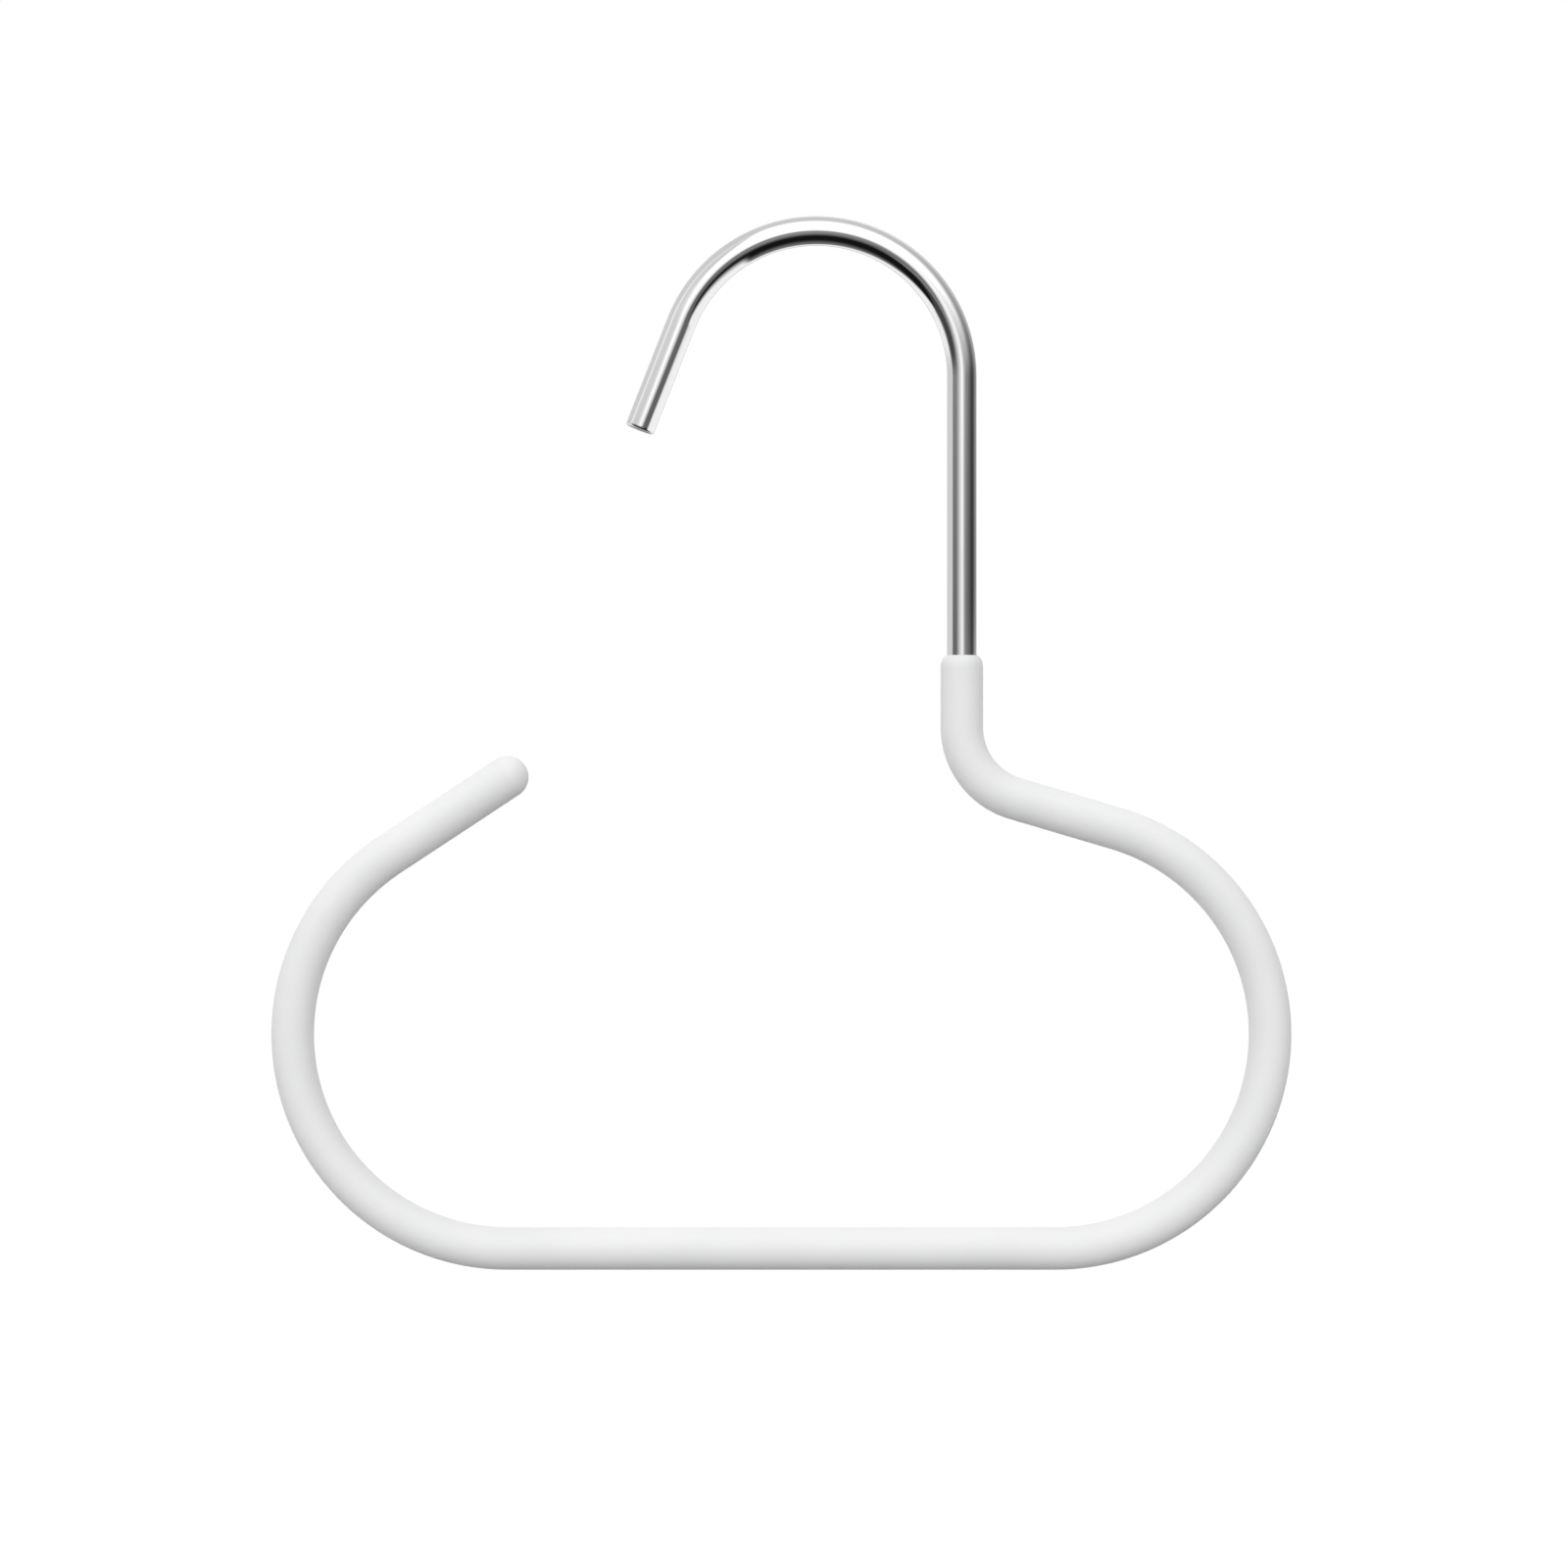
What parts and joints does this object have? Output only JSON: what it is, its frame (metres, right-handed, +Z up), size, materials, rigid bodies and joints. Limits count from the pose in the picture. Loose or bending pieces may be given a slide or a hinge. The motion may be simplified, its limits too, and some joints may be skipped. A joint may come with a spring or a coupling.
{
  "type": "hat hanger",
  "caption": "Open-loop hanger for caps and hats: a chrome rod hook above a flattened loop with a soft matt white coating, open on one side so that a cap slides over the free arm.",
  "frame": {"origin": "the top of the hook's inner side, on the rod's surface, where the hanger rests on a rail", "axes": "+Z up the hook, +X from the free arm towards the shank, +Y away from the viewer, square to the flat of the hanger and along the rail"},
  "size_m": [0.1561, 0.0066, 0.1612],
  "materials": {
    "chrome": "bright chrome plating over drawn steel rod",
    "soft_white_coating": "soft, matt dipped coating"
  },
  "bodies": {
    "root": {"hook_rod": "chrome", "body_coating": "soft_white_coating"}
  },
  "joints": []
}
